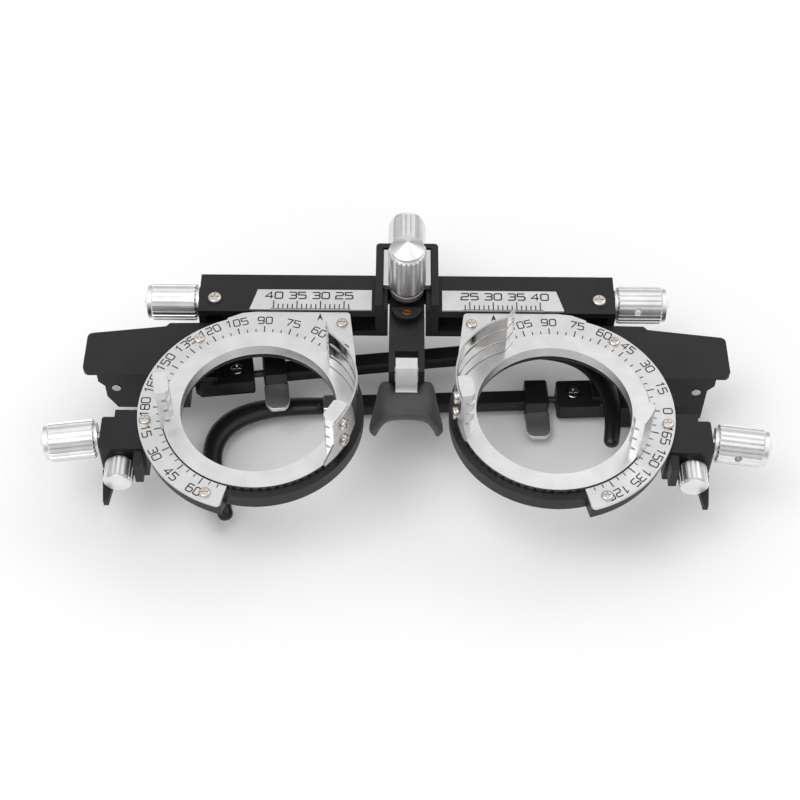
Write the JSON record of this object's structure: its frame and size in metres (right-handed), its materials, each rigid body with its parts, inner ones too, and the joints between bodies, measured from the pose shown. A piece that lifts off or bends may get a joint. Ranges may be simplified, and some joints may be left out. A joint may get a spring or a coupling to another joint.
{
  "type": "adjustable trial lens frame",
  "caption": "Optician's adjustable trial frame lying folded: geared rotating lens rings with claws, sliding cells, adjustable nose pad and folding temples.",
  "frame": {"origin": "middle of the footprint, on the surface that the folded temples rest on", "axes": "+X towards the wearer's left, +Y up the face, +Z out of the dial faces"},
  "size_m": [0.1486, 0.0799, 0.0398],
  "materials": {
    "black_paint": "satin black paint on machined metal",
    "scale_aluminium": "fine matt anodised, with black engraved marks",
    "satin_aluminium": "satin, fine turned marks",
    "knob_aluminium": "bright turned",
    "screw_steel": "nickel plated",
    "rod_black": "black oxide",
    "spring_steel": "polished sheet",
    "brass_screw": "dark brass",
    "black_plastic": "smooth moulded",
    "grey_rubber": "soft matt silicone rubber"
  },
  "bodies": {
    "frame": {"crossbar": "black_paint", "pd_scales": "scale_aluminium", "crossbar_screws": "screw_steel", "bridge_housing": "black_paint"},
    "nose_carriage": {"height_slider": "scale_aluminium"},
    "height_knob": {"height_knob": "knob_aluminium"},
    "depth_knob": {"depth_knob": "knob_aluminium"},
    "nose_stem": {"nose_stem": "black_paint", "stem_screw": "brass_screw", "pad_pin": "screw_steel"},
    "nose_pad": {"pad_block": "satin_aluminium", "nose_pad": "grey_rubber"},
    "pd_knob_left": {"pd_screw_left": "screw_steel", "pd_knob_left": "knob_aluminium"},
    "cell_left": {"cell_body_left": "black_paint", "dial_plate_left": "scale_aluminium", "dial_screws_left": "screw_steel", "gear_block_left": "black_paint", "side_arm_left": "black_paint", "hinge_pin_left": "screw_steel"},
    "lens_ring_left": {"lens_ring_left": "satin_aluminium", "lens_claws_left": "satin_aluminium", "leaf_spring_left": "spring_steel", "spring_screws_left": "screw_steel"},
    "axis_knob_left": {"axis_shaft_left": "screw_steel", "axis_knob_left": "knob_aluminium"},
    "lock_knob_left": {"lock_knob_left": "knob_aluminium"},
    "knuckle_left": {"knuckle_left": "black_paint"},
    "tilt_knob_left": {"tilt_knob_left": "knob_aluminium"},
    "temple_left": {"hinge_block_left": "black_paint", "block_screws_left": "screw_steel", "temple_rod_left": "rod_black"},
    "ear_piece_left": {"temple_slider_left": "black_paint", "slider_tongue_left": "satin_aluminium", "ear_ferrule_left": "satin_aluminium", "ear_hook_left": "black_plastic"},
    "pd_knob_right": {"pd_screw_right": "screw_steel", "pd_knob_right": "knob_aluminium"},
    "cell_right": {"cell_body_right": "black_paint", "dial_plate_right": "scale_aluminium", "dial_screws_right": "screw_steel", "gear_block_right": "black_paint", "side_arm_right": "black_paint", "hinge_pin_right": "screw_steel"},
    "lens_ring_right": {"lens_ring_right": "satin_aluminium", "lens_claws_right": "satin_aluminium", "leaf_spring_right": "spring_steel", "spring_screws_right": "screw_steel"},
    "axis_knob_right": {"axis_shaft_right": "screw_steel", "axis_knob_right": "knob_aluminium"},
    "lock_knob_right": {"lock_knob_right": "knob_aluminium"},
    "knuckle_right": {"knuckle_right": "black_paint"},
    "tilt_knob_right": {"tilt_knob_right": "knob_aluminium"},
    "temple_right": {"hinge_block_right": "black_paint", "block_screws_right": "screw_steel", "temple_rod_right": "rod_black"},
    "ear_piece_right": {"temple_slider_right": "black_paint", "slider_tongue_right": "satin_aluminium", "ear_ferrule_right": "satin_aluminium", "ear_hook_right": "black_plastic"}
  },
  "joints": [
    {"name": "nose_height", "type": "slide", "parent": "frame", "child": "nose_carriage", "axis": [0, 1, 0], "range_m": [-0.005, 0.0004]},
    {"name": "height_knob_turn", "type": "hinge", "parent": "frame", "child": "height_knob", "pos_m": [0, 0.0334, 0.0194], "axis": [0, 1, 0], "range_deg": [-1830, 160]},
    {"name": "nose_depth", "type": "slide", "parent": "nose_carriage", "child": "nose_stem", "axis": [0, 0, 1], "range_m": [-0.004, 0.0012]},
    {"name": "depth_knob_turn", "type": "hinge", "parent": "nose_carriage", "child": "depth_knob", "pos_m": [0, 0.0144, 0.0316], "axis": [0, 0, 1], "range_deg": [-1450, 440]},
    {"name": "pad_tilt", "type": "hinge", "parent": "nose_stem", "child": "nose_pad", "pos_m": [0, -0.004, 0.0204], "axis": [1, 0, 0], "range_deg": [-8, 8]},
    {"name": "pd_slide_left", "type": "slide", "parent": "frame", "child": "cell_left", "axis": [-1, 0, 0], "range_m": [-0.005, 0.01]},
    {"name": "pd_knob_turn_left", "type": "hinge", "parent": "frame", "child": "pd_knob_left", "pos_m": [-0.05, 0.0149, 0.0196], "axis": [-1, 0, 0], "range_deg": [-730, 1450]},
    {"name": "ring_turn_left", "type": "hinge", "parent": "cell_left", "child": "lens_ring_left", "pos_m": [-0.03, -0.0166, 0.0222], "axis": [0, 0, 1], "continuous": true},
    {"name": "axis_knob_turn_left", "type": "hinge", "parent": "cell_left", "child": "axis_knob_left", "pos_m": [-0.06766, -0.02169, 0.0189], "axis": [-0.991, -0.134, 0], "continuous": true},
    {"name": "lock_knob_turn_left", "type": "hinge", "parent": "cell_left", "child": "lock_knob_left", "pos_m": [-0.0578, -0.0276, 0.0178], "axis": [0, -1, 0], "range_deg": [0, 180]},
    {"name": "temple_fold_left", "type": "hinge", "parent": "cell_left", "child": "knuckle_left", "pos_m": [-0.0612, 0.0001, 0.0156], "axis": [0, 1, 0], "range_deg": [0, 90]},
    {"name": "temple_tilt_left", "type": "hinge", "parent": "knuckle_left", "child": "temple_left", "pos_m": [-0.044, 0.0019, 0.0092], "axis": [0, 0, 1], "range_deg": [-7, 7]},
    {"name": "tilt_knob_turn_left", "type": "hinge", "parent": "knuckle_left", "child": "tilt_knob_left", "pos_m": [-0.0495, 0.0084, 0.0092], "axis": [0, 1, 0], "range_deg": [-430, 430]},
    {"name": "temple_length_left", "type": "slide", "parent": "temple_left", "child": "ear_piece_left", "axis": [0.9925, 0.1219, 0], "range_m": [-0.0015, 0.009]},
    {"name": "pd_slide_right", "type": "slide", "parent": "frame", "child": "cell_right", "axis": [1, 0, 0], "range_m": [-0.005, 0.01]},
    {"name": "pd_knob_turn_right", "type": "hinge", "parent": "frame", "child": "pd_knob_right", "pos_m": [0.05, 0.0149, 0.0196], "axis": [1, 0, 0], "range_deg": [-730, 1450]},
    {"name": "ring_turn_right", "type": "hinge", "parent": "cell_right", "child": "lens_ring_right", "pos_m": [0.03, -0.0166, 0.0222], "axis": [0, 0, 1], "continuous": true},
    {"name": "axis_knob_turn_right", "type": "hinge", "parent": "cell_right", "child": "axis_knob_right", "pos_m": [0.06766, -0.02169, 0.0189], "axis": [0.991, -0.134, 0], "continuous": true},
    {"name": "lock_knob_turn_right", "type": "hinge", "parent": "cell_right", "child": "lock_knob_right", "pos_m": [0.0578, -0.0276, 0.0178], "axis": [0, -1, 0], "range_deg": [0, 180]},
    {"name": "temple_fold_right", "type": "hinge", "parent": "cell_right", "child": "knuckle_right", "pos_m": [0.0612, 0.0001, 0.0156], "axis": [0, -1, 0], "range_deg": [0, 90]},
    {"name": "temple_tilt_right", "type": "hinge", "parent": "knuckle_right", "child": "temple_right", "pos_m": [0.044, 0.0019, 0.0032], "axis": [0, 0, 1], "range_deg": [-7, 7]},
    {"name": "tilt_knob_turn_right", "type": "hinge", "parent": "knuckle_right", "child": "tilt_knob_right", "pos_m": [0.0495, 0.0084, 0.0032], "axis": [0, 1, 0], "range_deg": [-430, 430]},
    {"name": "temple_length_right", "type": "slide", "parent": "temple_right", "child": "ear_piece_right", "axis": [-0.999, -0.0436, 0], "range_m": [-0.0015, 0.018]}
  ],
  "couplings": [
    {"joint": "height_knob_turn", "follows": "nose_height", "rad_per_m": 6283.2},
    {"joint": "depth_knob_turn", "follows": "nose_depth", "rad_per_m": 6283.2},
    {"joint": "pd_knob_turn_left", "follows": "pd_slide_left", "rad_per_m": 2513.3},
    {"joint": "axis_knob_turn_left", "follows": "ring_turn_left", "ratio": -9},
    {"joint": "tilt_knob_turn_left", "follows": "temple_tilt_left", "ratio": 60},
    {"joint": "pd_knob_turn_right", "follows": "pd_slide_right", "rad_per_m": 2513.3},
    {"joint": "axis_knob_turn_right", "follows": "ring_turn_right", "ratio": -9},
    {"joint": "tilt_knob_turn_right", "follows": "temple_tilt_right", "ratio": 60}
  ]
}
